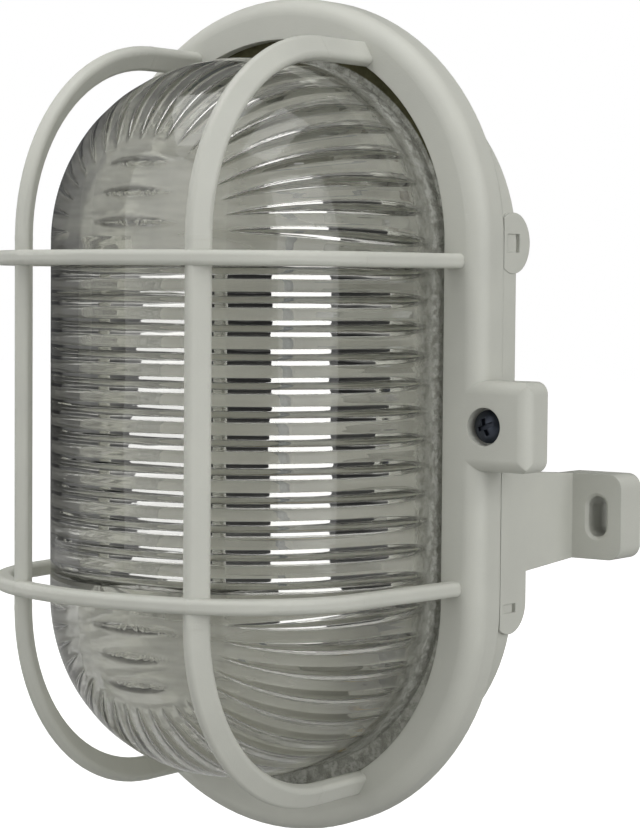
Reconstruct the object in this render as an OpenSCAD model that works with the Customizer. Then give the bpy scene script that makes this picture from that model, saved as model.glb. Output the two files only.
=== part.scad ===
// Oval bulkhead light: moulded base, grooved pressed-glass cover and a guard cage in one with its ring.
// Every piece is drawn lying on its back, with x across, y up the wall and z out from the wall.
// stand_up() then turns it upright: the wall plane is Y = 0, the light faces -Y and +Z is up.

/* [Outline] */
// Distance of the end arcs' centres from the middle
end_offset = 44; // [38:1:52]
// Outer radius of the guard ring
guard_r = 61.5; // [60:0.5:66]
// Radius of the opening in the guard ring
opening_r = 51; // [49:0.5:52]
// Distance of the ring's front face from the wall
ring_front = 54; // [52:1:62]

/* [Guard ring] */
// Thickness of the ring's front plate
ring_plate = 3; // [2.5:0.25:4]
// Rounding of the ring's front outer edge
ring_edge_r = 4.5; // [3:0.25:5]
// Depth of the ring's skirt behind its front face
skirt_depth = 10; // [8.5:0.5:11]
// Wall of the ring's skirt
skirt_wall = 1.9; // [1.5:0.1:2.4]
// Gap between the skirt and the base's rim
rim_gap = 0.3; // [0.2:0.1:0.6]

/* [Guard ears] */
// Reach of an ear beyond the ring
ear_out = 13.5; // [10:0.5:18]
// Height of an ear
ear_h = 21.8; // [18:0.2:28]
// Depth of an ear behind the ring's front face
ear_t = 9; // [8.5:0.5:10]
// Rounding of an ear's edges
ear_round = 3; // [1.5:0.25:4]
// Distance of a guard screw outside the ring's edge
screw_out = 1.2; // [0:0.1:2]
// Gap round a guard screw's head in its recess
recess_gap = 0.6; // [0.4:0.1:1]
// Depth of that recess
recess_depth = 3.4; // [3:0.1:5]
// Wall round that recess
recess_wall = 1.4; // [1:0.1:2]

/* [Guard bars] */
// Distance of the uprights from the middle
upright_x = 26.8; // [20:0.1:32]
// Distance from the dome's front to the uprights' centre line
upright_gap = 5.25; // [4.5:0.25:9]
// Bend radius of the uprights' centre line
upright_bend_r = 46; // [38:0.5:54]
// Depth of an upright's section, in to out
upright_w = 6.1; // [5:0.1:7]
// Thickness of an upright's section
upright_t = 3.5; // [2.8:0.1:4.5]
// Outward lean of an upright's back edge, in degrees
upright_lean = 30; // [15:1:40]
// Distance of an upright's feet from the ring's opening
upright_foot_in = 2.3; // [2:0.1:3]
// Distance of the hoops from the end arcs' centres, towards the middle
hoop_inset = 4.5; // [0:0.5:10]
// How far the hoops' centre line passes in front of the uprights'
hoop_proud = 5.9; // [4:0.1:6.5]
// Radius of a hoop's front arc
hoop_front_r = 80; // [70:1:100]
// Radius of a hoop's corners
hoop_corner_r = 37; // [34:0.5:39]
// Splay of a hoop's legs, in degrees
hoop_splay = 6; // [3:0.5:9]
// Distance of a hoop's feet from the ring's opening
hoop_foot_in = 3.6; // [3:0.1:5.5]
// Depth of a hoop's section, in to out
hoop_depth = 4.6; // [3.6:0.1:5.5]
// Height of a hoop's section
hoop_h = 3.6; // [2.8:0.1:4.5]
// Rounding of the bars' edges
bar_round = 1.3; // [0.6:0.1:1.35]

/* [Glass] */
// How far the dome's end centres sit inside the ring's
dome_setback = 4; // [2:0.5:8]
// How far they move out again from the dome's foot to its front
dome_swell = 4.5; // [0:0.5:5]
// Gap between the dome's foot and the ring's opening
dome_gap = 1.5; // [1:0.25:3]
// Distance of the dome's front in front of the ring
dome_front = 58.5; // [50:0.5:60]
// Fullness of the dome's section (2 is an ellipse)
dome_power = 2.4; // [2:0.05:2.6]
// Wall of the glass between its grooves
glass_wall = 5.9; // [5:0.1:6.5]
// Thickness of the glass flange
flange_t = 3; // [2.5:0.25:3.5]
// Reach of the flange under the ring
flange_lap = 3.4; // [2.5:0.1:3.6]
// Number of grooves along each straight side
side_grooves = 12; // [8:1:13]
// Number of grooves round each end
end_grooves = 20; // [12:1:22]
// Depth of a groove
groove_depth = 3.4; // [1:0.1:3.6]
// Share of the grooves' spacing that a groove fills
groove_share = 0.65; // [0.3:0.05:0.8]
// Turn up the dome at which a groove starts, in degrees
groove_start = 4; // [3:1:6]
// Turn over which it widens to its full size
groove_run = 16; // [10:1:20]
// Turn up the dome at which the fan of grooves ends, in degrees
fan_end = 63; // [55:1:70]
// Turn over which the fan runs out
fan_run = 26; // [12:1:30]

/* [Base] */
// Wall of the base's bowl
bowl_wall = 2.5; // [2:0.25:3.5]
// Thickness of the base's floor
floor_t = 2.6; // [2:0.2:3.4]
// Radius of the flat back at each end
back_r = 31; // [28:0.5:36]
// Height above the wall where the bowl's sides turn upright
shoulder = 30; // [24:1:34]
// Thickness of the rim that carries the glass
rim_t = 3; // [2.5:0.25:4]
// Thickness of the squeezed gasket
gasket_t = 2.3; // [1.6:0.1:2.8]
// How far the side skirt stays inside the ring's edge
side_inset = 0.2; // [0.1:0.1:0.6]
// How far the side skirt stops short of the rim's ends
side_skirt_short = 15.8; // [12:0.2:24]
// Corner radius of the side skirt
side_skirt_r = 45; // [36:0.5:50]
// Depth of the side skirt behind the ring's skirt
side_skirt_depth = 6; // [5:0.5:12]

/* [Cable bosses] */
// Diameter of a side boss
boss_d = 14.8; // [10:0.2:16]
// Distance of a boss's axis behind the ring's skirt
boss_drop = 4.5; // [4:0.25:8]
// How far a boss stands out of the side skirt
boss_proud = 0.2; // [0.1:0.1:1]
// Size of the recess in a boss, out from the wall
boss_recess_w = 5.5; // [3:0.1:7]
// Size of the recess in a boss, up the wall
boss_recess_h = 4.4; // [3:0.1:7]
// Depth of that recess
boss_recess_depth = 1; // [0.5:0.25:2]

/* [Fixing lugs] */
// How far a lug arm's face stands out of the side skirt
arm_proud = 0.2; // [0.1:0.1:1]
// Thickness of a lug arm
arm_t = 4; // [3:0.25:5]
// Height of a lug's level edge, below the middle
lug_top = 13.5; // [12:0.5:18]
// Height of a lug at its foot
lug_h = 21.5; // [18:0.5:26]
// Extra height of the arm where it leaves the base, on its outer edge
arm_flare = 1.5; // [0:0.25:4]
// Extra height there on its edge towards the ear
arm_lift = 2.3; // [0:0.1:2.4]
// Reach of the foot beyond the arm
foot_reach = 14; // [11:0.5:18]
// Thickness of the foot
foot_t = 10; // [6:0.5:12]
// Corner radius of the foot
foot_r = 3.5; // [2:0.25:5]
// Width of the fixing slot
slot_w = 5.2; // [4.2:0.1:6.2]
// Length of the fixing slot
slot_l = 10.4; // [8:0.2:13]
// Chamfer round the slot
slot_chamfer = 0.7; // [0.3:0.1:1.2]
// Thickness of the web between the bowl and a lug arm
web_t = 3; // [2:0.25:4]

/* [Guard screws] */
// Shank diameter of a guard screw
guard_screw_d = 4; // [3.5:0.1:4.5]
// Head diameter of a guard screw
guard_head_d = 8; // [7:0.1:8.4]
// Head height of a guard screw
guard_head_h = 3; // [2.4:0.1:3.4]
// Rise of the dome on that head
guard_dome = 1.8; // [1:0.1:2.2]
// Shank length of a guard screw
guard_screw_l = 9.5; // [9:0.5:12.5]
// Length of each slot of the cross in the head
cross_l = 4.2; // [3:0.1:5]
// Width of each slot of the cross
cross_w = 1.1; // [0.8:0.1:1.4]
// Turn of the cross, in degrees
cross_turn = 20; // [0:5:90]
// Outer diameter of a threaded insert
insert_d = 6.4; // [5.6:0.1:7.2]
// Length of a threaded insert
insert_l = 5.5; // [5:0.5:7.5]

/* [Small screws] */
// Shank diameter of the small screws
small_screw_d = 3; // [2.5:0.1:3.4]
// Head diameter of the small screws
small_head_d = 5.6; // [5:0.1:6.2]
// Head height of the small screws
small_head_h = 2; // [1.6:0.1:2.4]
// Width of their driver slots
driver_slot = 0.8; // [0.6:0.05:1]
// Depth of a small screw in the piece that it holds to
small_grip = 6; // [4:0.5:6.5]
// Room below a screw's tip
tip_room = 0.8; // [0.5:0.1:1.2]
// Wall of the posts that take small screws
post_wall = 2.2; // [1.6:0.1:3]

/* [Lampholder] */
// Height of the lampholder's axis above the wall
holder_z = 42; // [40:0.5:43]
// Diameter of the lampholder's body
holder_d = 38; // [36:0.5:39]
// Length of the lampholder's body
holder_l = 42; // [38:1:50]
// Thickness of the lampholder's bottom
holder_bottom = 12; // [11:0.5:14]
// Outer diameter of the threaded shell
shell_d = 28.6; // [27:0.1:29.5]
// Wall of the threaded shell
shell_wall = 0.6; // [0.4:0.1:0.8]
// Pitch of the shell's rolled thread
shell_pitch = 3.6; // [3:0.1:4]
// Depth of the shell's rolled thread
shell_wave = 0.5; // [0.3:0.05:0.7]
// Distance of the shell's mouth inside the lampholder's mouth
shell_inset = 3; // [2:0.5:5]
// Diameter of the centre contact's recess
contact_d = 13; // [11:0.5:14]
// Depth of that recess
contact_depth = 4; // [3:0.25:4]
// Sheet thickness of the centre contact
contact_t = 0.6; // [0.4:0.1:0.8]
// Width of the centre contact
contact_w = 6; // [4:0.5:7]
// Thickness of a lampholder terminal
terminal_t = 5; // [4:0.25:6]
// Width of a lampholder terminal
terminal_w = 7; // [6:0.25:8]
// Height of a lampholder terminal
terminal_h = 8; // [6:0.25:9]
// Distance of the terminals from the lampholder's bottom end
terminal_rise = 6; // [5:0.25:7]
// How far a terminal stands out of the lampholder's side
terminal_proud = 0.5; // [0.25:0.25:1]

/* [Lampholder angle] */
// Sheet thickness of the steel angle
bracket_t = 1.5; // [1:0.1:2]
// Width of the steel angle
bracket_w = 30; // [27:1:32]
// Length of the angle's foot
bracket_leg = 24; // [20:1:30]
// Gap between the lampholder and the angle's foot
bracket_clear = 5.25; // [4:0.25:6]
// Gap between the angle and the bowl
bracket_gap = 1.2; // [0.8:0.1:1.5]
// Height of the angle over the lampholder's axis
bracket_rise = 5.5; // [4.5:0.25:5.75]
// Distance of the angle's posts from the middle line
bracket_post_x = 10.5; // [9:0.25:11]
// Distance of the angle's posts from the lampholder's bottom end
bracket_post_in = 15; // [12:0.5:18]
// Distance of the lampholder's screws from its axis
holder_hole_x = 9.5; // [9:0.25:12]

/* [Supply terminals] */
// Width of the terminal block
block_w = 24; // [22:0.5:30]
// Length of the terminal block, up the wall
block_l = 18; // [16:0.5:20]
// Height of the terminal block
block_h = 13; // [11:0.5:15]
// Distance of the block's middle above the light's middle
block_y = 45; // [44:1:48]
// Distance between its two poles
pole_pitch = 12; // [11:0.5:14]
// Outer diameter of a terminal tube
tube_d = 5; // [4.5:0.1:5.4]
// Bore of a terminal tube
tube_bore = 3; // [2.9:0.05:3.4]
// Height of the tubes above the floor
tube_rise = 5.85; // [5:0.25:6.5]
// Distance of a tube's ends inside the block's ends
tube_short = 1; // [0.5:0.25:2]
// Distance of the terminal screws from the block's middle
tube_screw_y = 4.5; // [4:0.25:5]
// Distance of the terminal screws' ends below the block's top
screw_sink = 1; // [0.5:0.25:2]
// Shank diameter of the block's fixing screw
block_screw_d = 2.5; // [2:0.1:2.9]
// Head diameter of that screw
block_head_d = 5; // [4:0.1:5.4]
// Head height of that screw
block_head_h = 1.75; // [1.25:0.25:2.5]
// Depth of that screw in the floor
block_grip = 1.5; // [1:0.1:1.6]

/* [Cable entry] */
// Distance of the cable entry above the light's middle
entry_y = 0; // [-4:1:2]
// Bore of the cable grommet
entry_bore = 9; // [7:0.5:12]
// Diameter of the hole that the grommet fills
entry_hole = 20; // [18:0.5:22]
// Depth of the pocket round the hole, in the back
entry_pocket = 2.2; // [2:0.1:3]
// Thickness of the web that the grommet grips
entry_web = 2.6; // [2:0.1:3.4]
// Lap of the grommet's lips over the web
entry_lip = 3.5; // [2.5:0.25:4]
// Thickness of the grommet's lips
lip_t = 1.8; // [1.2:0.1:2]
// Wall round the pocket
entry_wall = 3; // [2:0.25:4]
// Distance of the cord clamp above the cable entry
clamp_rise = 26; // [25:0.5:28]
// Distance of the clamp's posts from the middle line
clamp_post_x = 11; // [10:0.25:12]
// Height of the clamp's underside above the wall
clamp_z = 11; // [10:0.5:14]
// Length of the clamp's bar
clamp_l = 30; // [29:1:36]
// Width of the clamp's bar
clamp_w = 8; // [7:0.25:10]
// Thickness of the clamp's bar
clamp_t = 3.5; // [3:0.25:5]
// Diameter of the groove that grips the cable
clamp_groove = 4; // [3:0.25:5]
// Diameter of the sleeved leads
lead_d = 2.8; // [2:0.1:2.85]
// General fitting gap between pieces
fit_gap = 0.1; // [0.05:0.05:0.2]

/* [Hidden] */
$fn = 64;

// A cut runs this far past the face that it opens
eps = 0.5;
// Both sides of the light
sides = [1, -1];

// Levels above the wall, from the ring's front face down to the base's rim
ring_under = ring_front - ring_plate;
skirt_low = ring_front - skirt_depth;
flange_low = ring_under - flange_t;
rim_top = flange_low - gasket_t;
side_skirt_low = skirt_low - side_skirt_depth;
side_top = skirt_low - rim_gap;
boss_z = skirt_low - boss_drop;

// Radii from the outline inwards
rim_r = guard_r - skirt_wall - rim_gap;
side_x = guard_r - side_inset;
dome_r = opening_r - dome_gap;
flange_r = opening_r + flange_lap;
bowl_r = opening_r + bowl_wall;
// Spread of the bowl's sides for each millimetre of height
bowl_slope = (bowl_r - back_r) / shoulder;
function bowl_inner_r(z) = opening_r - bowl_slope * (shoulder - z);

// Places that follow the oval: dome, hoops, side skirt, bosses and lug arms
dome_offset = end_offset - dome_setback;
hoop_y = end_offset - hoop_inset;
side_skirt_half = end_offset + rim_r - side_skirt_short;
boss_y = end_offset;
arm_face = side_x + arm_proud;

// Reach of the cage in front of the ring
upright_front = dome_front + upright_gap;
hoop_front = upright_front + hoop_proud;

// Joints between the runs of a bar: gap, half length of a collar and how far it stands out of the bar
joint_gap = 0.1;
joint_half = 0.6;
joint_grow = 0.03;

// Guard screws: their recess, their posts and the floor that a head sits on
screw_x = guard_r + screw_out;
recess_d = guard_head_d + 2 * recess_gap;
post_d = recess_d + 2 * recess_wall;
head_seat = ring_front - recess_depth;
shank_hole_d = guard_screw_d + 4 * fit_gap;
screw_tip = head_seat - guard_screw_l;
post_low = min(screw_tip - tip_room, rim_top - insert_l) - rim_t;

// Small screws: the hole that one passes through and the post that takes one
small_hole_d = small_screw_d + 2 * fit_gap;
small_post_d = small_screw_d + 2 * post_wall;
small_depth = small_grip + tip_room;

// Lampholder: the angle's foot, and the bottom end where the angle just clears the bowl
bracket_z = holder_z - holder_d / 2 - bracket_clear - bracket_t;
bracket_back = end_offset + sqrt(pow(bowl_inner_r(bracket_z), 2) - pow(bracket_w / 2, 2)) - bracket_gap;
holder_y = bracket_t - bracket_back;
bracket_post_y = holder_y + bracket_post_in;
shell_r = shell_d / 2;
contact_low = holder_bottom - contact_depth;
terminal_in = holder_d / 2 + terminal_proud - terminal_t;
terminal_x = terminal_in + terminal_t / 2;
terminal_y = holder_y + terminal_rise;

// Terminal block: its poles, their level and the block's top
pole_x = pole_pitch / 2;
tube_z = floor_t + tube_rise;
block_top = floor_t + block_h;
block_seat = floor_t + block_h / 2;

// Cable entry: a web in a shallow pocket of the back, gripped by the grommet, and the clamp above it
web_low = entry_pocket;
web_high = entry_pocket + entry_web;
lip_r = entry_hole / 2 + entry_lip;
pocket_r = lip_r + 2 * fit_gap;
clamp_y = entry_y + clamp_rise;

plastic = "#b4b5ae";
glass = "#c9d0cc";
blued_steel = "#4a5264";
steel = "#9a9ca0";
brass = "#c8a85a";
holder_grey = "#a3a397";
pale_plastic = "#b9bab2";
brown_sleeve = "#8a7a6c";
blue_sleeve = "#6f7f92";
rubber = "#3a3a34";

module stand_up() {
    rotate([90, 0, 0]) children();
}

// Mirrors its children to the left side when s is -1
module on_side(s) {
    if (s > 0) children();
    else mirror([1, 0, 0]) children();
}

module both_sides() {
    for (s = sides) on_side(s) children();
}

// Repeats its children turned half a turn about the light's axis
module half_turn_pair() {
    for (turn = [0, 180]) rotate([0, 0, turn]) children();
}

// Sweeps a half section (radius, height) round an oval path
module oval_turn(offset_y) {
    half_turn_pair() {
        translate([0, offset_y, 0]) rotate_extrude(angle = 180) children();
        rotate([90, 0, 0]) linear_extrude(2 * offset_y, center = true) children();
    }
}

module rounded_rect_2d(w, h, r) {
    square([w - 2 * r, h], center = true);
    square([w, h - 2 * r], center = true);
    for (x = sides, y = sides) translate([x * (w / 2 - r), y * (h / 2 - r)]) circle(r);
}

module oval_2d(r, offset_y) {
    square([2 * r, 2 * offset_y], center = true);
    for (y = sides) translate([0, y * offset_y]) circle(r);
}

// A round bar or hole along +y from a point
module along_y(at) {
    translate(at) rotate([-90, 0, 0]) children();
}

// A round bar or hole along +x from a point
module along_x(at) {
    translate(at) rotate([0, 90, 0]) children();
}

// Driver slot across a head of diameter d, as deep as half the head
module driver_cut(d, head_h) {
    translate([-d, -driver_slot / 2, head_h / 2]) cube([2 * d, driver_slot, head_h]);
}

// Cheese-head screw along -z with its head's underside at the origin
module small_screw(length) {
    difference() {
        cylinder(d = small_head_d, h = small_head_h);
        driver_cut(small_head_d, small_head_h);
    }
    translate([0, 0, -length]) cylinder(d = small_screw_d, h = length + small_head_h / 4);
}

function unit(v) = v / norm(v);

// Direction of a route at point i: the mean of the runs that meet there
function route_dir(points, i) =
    let (
        last = len(points) - 1,
        before = i > 0 ? unit(points[i] - points[i - 1]) : [0, 0, 0],
        after = i < last ? unit(points[i + 1] - points[i]) : [0, 0, 0]
    )
    unit(before + after);

// Lead swept along a row of points, one ring of corners at each point
module lead(points) {
    corners = 10;
    last = len(points) - 1;
    rings = [for (i = [0 : last])
        let (dir = route_dir(points, i), across = unit(cross(dir, lead_up)), up = cross(dir, across))
        for (k = [0 : corners - 1])
            let (turn = 360 * k / corners)
            points[i] + lead_d / 2 * (cos(turn) * across + sin(turn) * up)];
    walls = [for (i = [0 : last - 1], k = [0 : corners - 1])
        let (a = i * corners + k, b = i * corners + (k + 1) % corners)
        each [[a, a + corners, b + corners], [a, b + corners, b]]];
    start = [for (k = [0 : corners - 1]) k];
    end = [for (k = [1 : corners]) len(rings) - k];
    polyhedron(rings, concat(walls, [start, end]));
}

// Base

module bowl_section() {
    polygon([
        [0, 0], [back_r, 0], [bowl_r, shoulder], [bowl_r, rim_top - rim_t],
        [rim_r, rim_top - rim_t], [rim_r, rim_top], [opening_r, rim_top], [opening_r, shoulder],
        [bowl_inner_r(floor_t), floor_t], [0, floor_t]
    ]);
}

// Wall round the outside of the bowl, level with the ring's skirt
module side_skirt() {
    inner_r = side_x - bowl_wall;
    inner_half = side_skirt_half - bowl_wall;
    translate([0, 0, side_skirt_low])
        linear_extrude(side_top - side_skirt_low) difference() {
            rounded_rect_2d(2 * side_x, 2 * side_skirt_half, side_skirt_r);
            rounded_rect_2d(2 * inner_r, 2 * inner_half, side_skirt_r - bowl_wall);
            oval_2d(bowl_r - bowl_wall / 2, end_offset);
        }
}

// Blind cable entry: a round boss with a small recess, cut off level under the guard's skirt
module cable_boss() {
    root = bowl_r - bowl_wall / 2;
    face = side_x + boss_proud;
    recess_y = boss_y - boss_recess_h / 2;
    recess_z = boss_z - boss_recess_w / 2;
    intersection() {
        difference() {
            along_x([root, boss_y, boss_z]) cylinder(d = boss_d, h = face - root);
            translate([face - boss_recess_depth, recess_y, recess_z])
                cube([boss_recess_depth + eps, boss_recess_h, boss_recess_w]);
        }
        translate([0, boss_y - boss_d, 0]) cube([face + eps, 2 * boss_d, side_top]);
    }
}

// Slot through a lug's foot, chamfered at the front
module fixing_slot() {
    run = slot_l - slot_w;
    for (y = sides) translate([0, y * run / 2, 0]) {
        translate([0, 0, -eps]) cylinder(d = slot_w, h = foot_t + 2 * eps);
        translate([0, 0, foot_t - slot_chamfer])
            cylinder(d1 = slot_w, d2 = slot_w + 2 * (slot_chamfer + eps), h = slot_chamfer + eps);
    }
    translate([-slot_w / 2, -run / 2, -eps]) cube([slot_w, run, foot_t + 2 * eps]);
    rise = slot_chamfer + eps;
    translate([0, run / 2, foot_t - slot_chamfer]) rotate([90, 0, 0]) linear_extrude(run) polygon([
        [-slot_w / 2, 0], [slot_w / 2, 0], [slot_w / 2 + rise, rise], [-slot_w / 2 - rise, rise]
    ]);
}

// L-shaped lug: an arm from the side skirt and a boss back to the wall, and a slotted foot along the wall
module lug() {
    boss_low = boss_z - boss_d / 2;
    arm_back = arm_face - arm_t;
    lug_low = -lug_top - lug_h;
    foot_y = -lug_top - lug_h / 2;
    foot_l = foot_reach + arm_t;
    difference() {
        union() {
            translate([arm_back, 0, 0]) rotate([90, 0, 90]) linear_extrude(arm_t) polygon([
                [-lug_top, 0], [-lug_top, foot_t], [arm_lift - lug_top, side_top],
                [-boss_y, side_top], [-boss_y, boss_low], [lug_low - arm_flare, boss_low],
                [lug_low, foot_t], [lug_low, 0]
            ]);
            translate([arm_back + foot_l / 2, foot_y, 0])
                linear_extrude(foot_t) rounded_rect_2d(foot_l, lug_h, foot_r);
        }
        translate([arm_face + foot_reach / 2, foot_y, 0]) fixing_slot();
    }
    // Web from the bowl to the arm
    translate([0, foot_y + web_t / 2, 0]) rotate([90, 0, 0]) linear_extrude(web_t) polygon([
        [back_r - bowl_wall, 0], [arm_face - arm_t / 2, 0],
        [arm_face - arm_t / 2, shoulder], [bowl_r - bowl_wall / 2, shoulder]
    ]);
}

module base_solid() {
    oval_turn(end_offset) bowl_section();
    side_skirt();
    half_turn_pair() {
        cable_boss();
        mirror([1, 0, 0]) cable_boss();
        lug();
        translate([screw_x, 0, post_low]) cylinder(d = post_d, h = rim_top - post_low);
    }
    both_sides() {
        translate([bracket_post_x, bracket_post_y, floor_t / 2])
            cylinder(d = small_post_d, h = bracket_z - floor_t / 2);
        translate([clamp_post_x, clamp_y, floor_t / 2])
            cylinder(d = small_post_d, h = clamp_z - floor_t / 2);
    }
    translate([0, entry_y, 0]) cylinder(r = pocket_r + entry_wall, h = web_high);
}

module base_cuts() {
    both_sides() {
        translate([screw_x, 0, rim_top - insert_l]) cylinder(d = insert_d, h = insert_l + eps);
        translate([screw_x, 0, post_low + rim_t]) cylinder(d = shank_hole_d, h = rim_top - post_low);
        translate([bracket_post_x, bracket_post_y, bracket_z - small_depth])
            cylinder(d = small_screw_d, h = small_depth + eps);
        translate([clamp_post_x, clamp_y, clamp_z - small_depth])
            cylinder(d = small_screw_d, h = small_depth + eps);
    }
    translate([0, block_y, floor_t - block_grip]) cylinder(d = block_screw_d, h = block_grip + eps);
    translate([0, entry_y, -eps]) {
        cylinder(d = entry_hole, h = web_high + 2 * eps);
        cylinder(r = pocket_r, h = entry_pocket + eps);
    }
}

module base_housing() {
    stand_up() color(plastic) difference() {
        base_solid();
        base_cuts();
    }
}

// Guard

// Outer section of the ring, from its opening to its skirt, with a round front edge
module ring_outer_2d() {
    corner = [guard_r - ring_edge_r, ring_front - ring_edge_r];
    translate([opening_r, skirt_low]) square([corner[0] - opening_r, skirt_depth]);
    translate([opening_r, skirt_low]) square([guard_r - opening_r, skirt_depth - ring_edge_r]);
    translate(corner) circle(ring_edge_r);
}

// Hollow behind the ring's plate, chamfered inside the round edge
module ring_hollow_2d() {
    inner = guard_r - skirt_wall;
    chamfer = ring_edge_r / 2;
    polygon([
        [opening_r - eps, skirt_low - eps], [inner, skirt_low - eps], [inner, ring_under - chamfer],
        [inner - chamfer, ring_under], [opening_r - eps, ring_under]
    ]);
}

module ring() {
    difference() {
        oval_turn(end_offset) ring_outer_2d();
        oval_turn(end_offset) ring_hollow_2d();
    }
}

// Rounded block, level with the ring's front: its outer edges and its front edges are round
module ear() {
    inner = guard_r - skirt_wall;
    reach = guard_r + ear_out;
    intersection() {
        translate([reach / 2, 0, ring_front - ear_t]) linear_extrude(ear_t)
            rounded_rect_2d(reach, ear_h, ear_round);
        rotate([90, 0, 0]) linear_extrude(2 * ear_h, center = true)
            translate([reach / 2, ring_front / 2]) rounded_rect_2d(reach, ring_front, ear_round);
        rotate([90, 0, 90]) linear_extrude(reach)
            translate([0, ring_front / 2]) rounded_rect_2d(ear_h, ring_front, ear_round);
        union() {
            translate([inner, -ear_h, 0]) cube([reach, 2 * ear_h, ring_front]);
            translate([guard_r - ring_edge_r, -ear_h, ring_under]) cube([reach, 2 * ear_h, ring_plate]);
        }
    }
    // Seat of the screw's head, inside the ring's wall
    seat_low = rim_top + rim_gap;
    translate([screw_x, 0, seat_low]) cylinder(d = post_d, h = ring_under + ring_plate / 2 - seat_low);
}

// Recess and hole of a guard screw, and the room for the base's post under them
module ear_cuts() {
    translate([screw_x, 0, head_seat]) cylinder(d = recess_d, h = recess_depth + eps);
    translate([screw_x, 0, skirt_low - eps]) {
        cylinder(d = shank_hole_d, h = skirt_depth);
        cylinder(d = post_d + 2 * rim_gap, h = rim_top + rim_gap - skirt_low + eps);
    }
}

// Bars are drawn run by run. Small gaps part the runs, and a collar a hair larger than the bar
// bridges each gap.

// Arc of a bar about the origin, its section held at radius r, a gap short at both ends
module bar_arc(r, from, to) {
    gap = joint_gap / r * 180 / PI;
    rotate([0, 0, from + gap]) rotate_extrude(angle = to - from - 2 * gap) translate([r, 0]) children();
}

// Straight run of a bar that leaves the arc's end at angle a, backwards
module bar_run(r, a, from, to) {
    rotate([0, 0, a]) rotate([90, 0, 0]) translate([r, 0, from]) linear_extrude(to - from) children();
}

// Collar at the arc's end at angle a
module bar_joint(r, a) {
    bar_run(r, a, -joint_half, joint_half) children();
}

module upright_section(s, grow = 0) {
    rotate(-s * upright_lean)
        rounded_rect_2d(upright_w + 2 * grow, upright_t + 2 * grow, bar_round + grow);
}

// Upright on side s: legs, two bends and a straight front, in a plane across x
module upright(s) {
    foot = ring_under + ring_plate / 2;
    bend_z = ring_front + upright_front - upright_bend_r;
    landing_r = opening_r + upright_foot_in;
    bend_y = end_offset + sqrt(pow(landing_r, 2) - pow(upright_x, 2)) - upright_bend_r;
    translate([s * upright_x, 0, 0]) rotate([90, 0, 90]) {
        for (m = [0, 1]) mirror([m, 0, 0]) translate([bend_y, bend_z, 0]) {
            bar_arc(upright_bend_r, 0, 90) upright_section(s);
            bar_run(upright_bend_r, 0, joint_gap, bend_z - foot) upright_section(s);
            for (a = [0, 90]) bar_joint(upright_bend_r, a) upright_section(s, joint_grow);
        }
        translate([-bend_y, bend_z, 0])
            bar_run(upright_bend_r, 90, joint_gap, 2 * bend_y - joint_gap) upright_section(s);
    }
}

module hoop_section(grow = 0) {
    rounded_rect_2d(hoop_depth + 2 * grow, hoop_h + 2 * grow, bar_round + grow);
}

// Hoop: a shallow front arc, two tight corners and two splayed legs, in a plane across y.
// The turn where the front arc meets a corner is the one that lands the legs on the ring.
module hoop() {
    foot = [opening_r + hoop_foot_in, ring_under + ring_plate / 2];
    front_z = ring_front + hoop_front - hoop_front_r;
    inset = hoop_front_r - hoop_corner_r;
    rise = front_z + hoop_corner_r * sin(hoop_splay) - foot[1];
    room = foot[0] - hoop_corner_r * cos(hoop_splay) - tan(hoop_splay) * rise;
    turn = hoop_splay + acos(cos(hoop_splay) * room / inset);
    corner = inset * [cos(turn), sin(turn)] + [0, front_z];
    leg = (corner[1] + hoop_corner_r * sin(hoop_splay) - foot[1]) / cos(hoop_splay);
    rotate([90, 0, 0]) {
        translate([0, front_z, 0]) bar_arc(hoop_front_r, turn, 180 - turn) hoop_section();
        both_sides() translate(corner) {
            bar_arc(hoop_corner_r, hoop_splay, turn) hoop_section();
            bar_run(hoop_corner_r, hoop_splay, joint_gap, leg) hoop_section();
            for (a = [hoop_splay, turn]) bar_joint(hoop_corner_r, a) hoop_section(joint_grow);
        }
    }
}

module guard_frame() {
    stand_up() color(plastic) difference() {
        union() {
            ring();
            both_sides() ear();
            for (s = sides) upright(s);
            for (s = sides) translate([0, s * hoop_y, 0]) hoop();
        }
        both_sides() ear_cuts();
    }
}

// Glass: one closed surface, swept row by row from the outer crest over the flange to the inner crest

// Dome section at angle t (0 at the foot, 90 at the crest): radius and height over the foot
function dome(r, rise, t) = [r * pow(cos(t), 2 / dome_power), rise * pow(sin(t), 2 / dome_power)];

// Place of the dome's end centres at that angle
function end_place(t) = dome_offset + dome_swell * sin(t);

// Stations round the oval: quarter (right, top, left, foot), groove's middle (0 to 1) and step across it
function groove_steps(quarter, count) =
    [for (k = [0 : count - 1], m = [-1, 0, 1]) [quarter, (k + 0.5) / count, m / count]];
stations = [for (q = [0 : 3]) each groove_steps(q, q % 2 == 0 ? side_grooves : end_grooves)];

// Share of its full size that a groove has at turn t; the fans also run out before the front
function clamp01(v) = max(0, min(1, v));
function groove_size(st, t) =
    clamp01((t - groove_start) / groove_run) * (st[0] % 2 == 0 ? 1 : clamp01((fan_end - t) / fan_run));

// Point at a station on an oval of the given radius and end offset, its groove so wide
function oval_point(st, width, r, offset_y, z) =
    let (
        place = st[1] + st[2] * width / 2,
        end = st[0] % 2,
        side = st[0] < 2 ? 1 : -1,
        turn = (st[0] < 2 ? 0 : 180) + end * 180 * place
    )
    [r * cos(turn), side * (end > 0 ? 1 : 2 * place - 1) * offset_y + r * sin(turn), z];

function outer_point(st, t) =
    let (p = dome(dome_r, ring_front + dome_front - ring_under, t))
    oval_point(st, groove_share, p[0], end_place(t), ring_under + p[1]);

function inner_point(st, t) =
    let (
        size = groove_size(st, t),
        wall = glass_wall - (st[2] == 0 ? groove_depth * size : 0),
        p = dome(dome_r - wall, ring_front + dome_front - flange_low - wall, t)
    )
    oval_point(st, groove_share * max(size, groove_least), p[0], end_place(t), flange_low + p[1]);

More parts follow.
